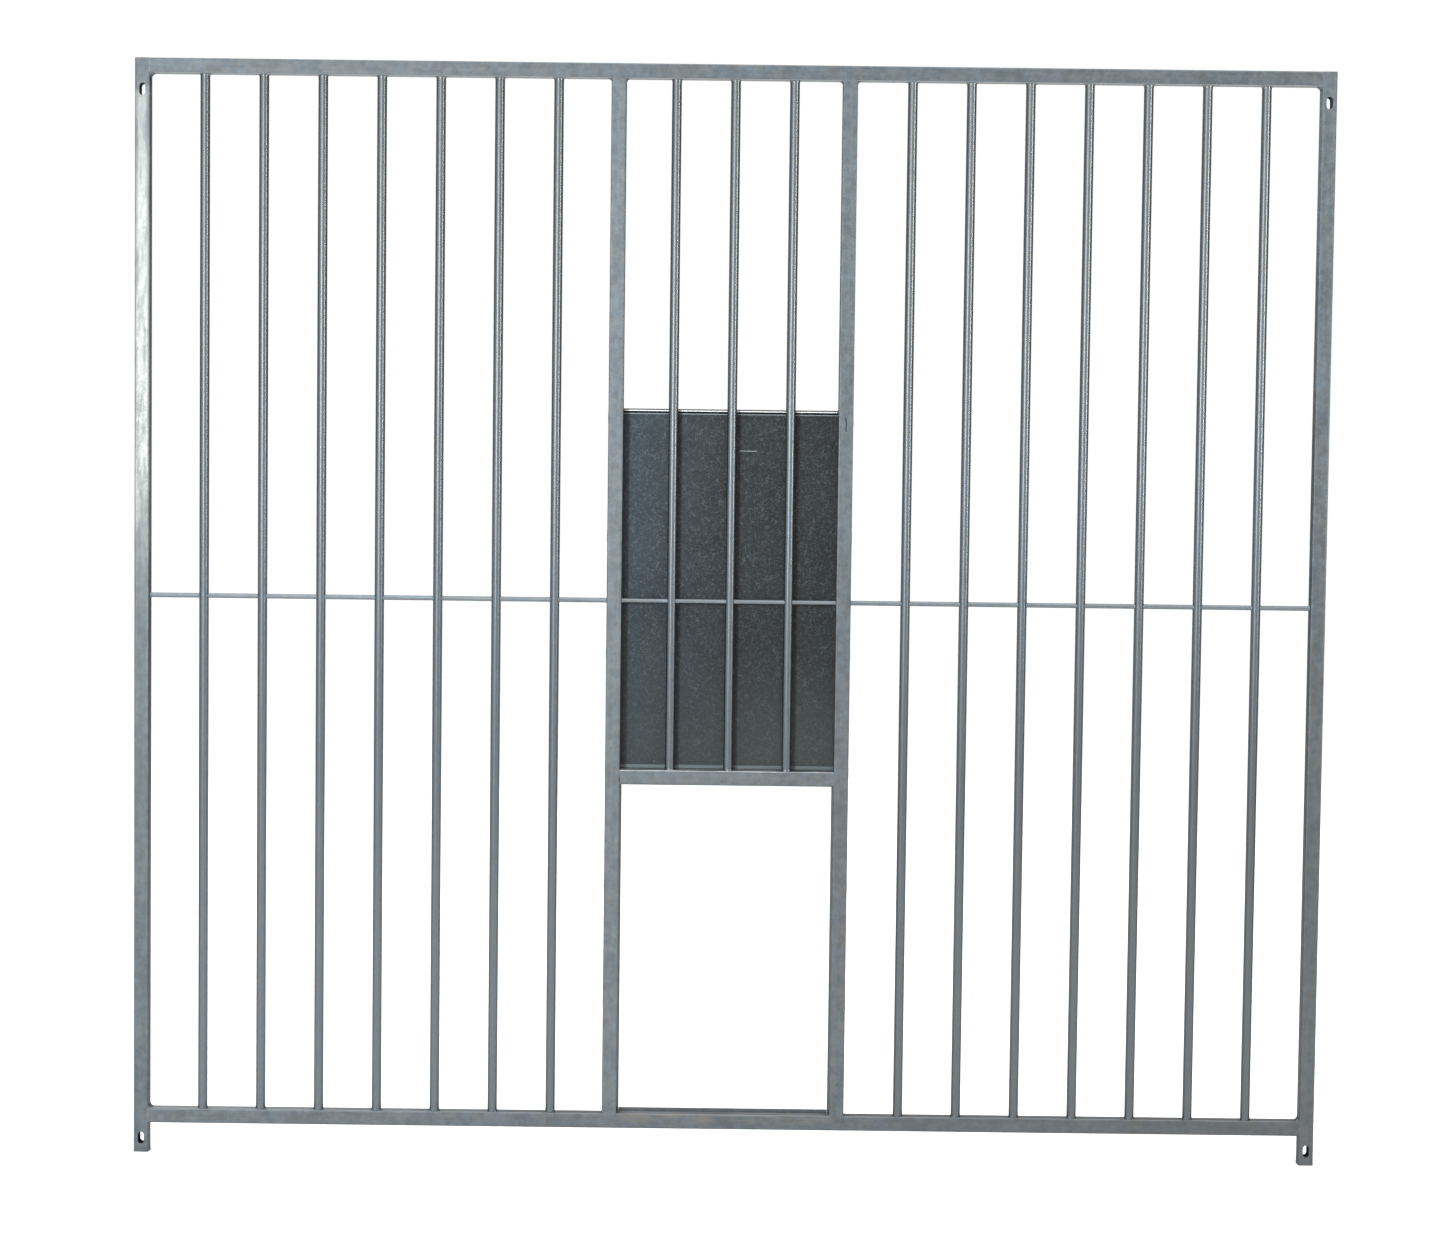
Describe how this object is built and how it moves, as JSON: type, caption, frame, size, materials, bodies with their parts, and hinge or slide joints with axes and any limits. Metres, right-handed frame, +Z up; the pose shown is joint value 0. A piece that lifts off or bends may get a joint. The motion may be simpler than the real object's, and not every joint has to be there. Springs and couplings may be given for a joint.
{
  "type": "kennel panel with sliding hatch",
  "caption": "Barred galvanised steel panel for a dog run, with a sheet steel hatch that slides up and down in guides behind a framed opening.",
  "frame": {"origin": "mid-width and mid-depth of the whole part, on the ground under the feet", "axes": "+X across the panel, to the right as seen from the front; the front faces -Y; +Z up"},
  "size_m": [2, 0.0578, 1.84],
  "materials": {
    "frame_tube": "hot-dip galvanised, satin, faintly mottled",
    "bar_tube": "hot-dip galvanised, satin, with zinc runs",
    "rod": "hot-dip galvanised, satin",
    "hatch_sheet": "galvanised sheet, dark, with fine flecks and scratches",
    "guide_sheet": "hot-dip galvanised, satin",
    "clamp_hardware": "zinc plated, satin"
  },
  "bodies": {
    "frame": {"bottom_rail": "frame_tube", "centre_bar_1": "bar_tube", "centre_bar_2": "bar_tube", "centre_bar_3": "bar_tube", "centre_rod": "rod", "clamp_nut": "clamp_hardware", "cross_rail": "frame_tube", "left_bar_1": "bar_tube", "left_bar_2": "bar_tube", "left_bar_3": "bar_tube", "left_bar_4": "bar_tube", "left_bar_5": "bar_tube", "left_bar_6": "bar_tube", "left_bar_7": "bar_tube", "left_guide": "guide_sheet", "left_post": "frame_tube", "left_rod": "rod", "left_stile": "frame_tube", "right_bar_1": "bar_tube", "right_bar_2": "bar_tube", "right_bar_3": "bar_tube", "right_bar_4": "bar_tube", "right_bar_5": "bar_tube", "right_bar_6": "bar_tube", "right_bar_7": "bar_tube", "right_guide": "guide_sheet", "right_post": "frame_tube", "right_rod": "rod", "right_stile": "frame_tube", "sill_strip": "guide_sheet", "top_rail": "frame_tube"},
    "hatch": {"hatch_plate": "hatch_sheet"},
    "clamp": {"clamp_screw": "clamp_hardware"}
  },
  "joints": [
    {"name": "hatch_slide", "type": "slide", "parent": "frame", "child": "hatch", "axis": [0, 0, 1], "range_m": [-0.6012, 0]},
    {"name": "clamp_turn", "type": "hinge", "parent": "frame", "child": "clamp", "pos_m": [0.183, 0, 1.24], "axis": [0, 1, 0], "range_deg": [0, 270]}
  ]
}
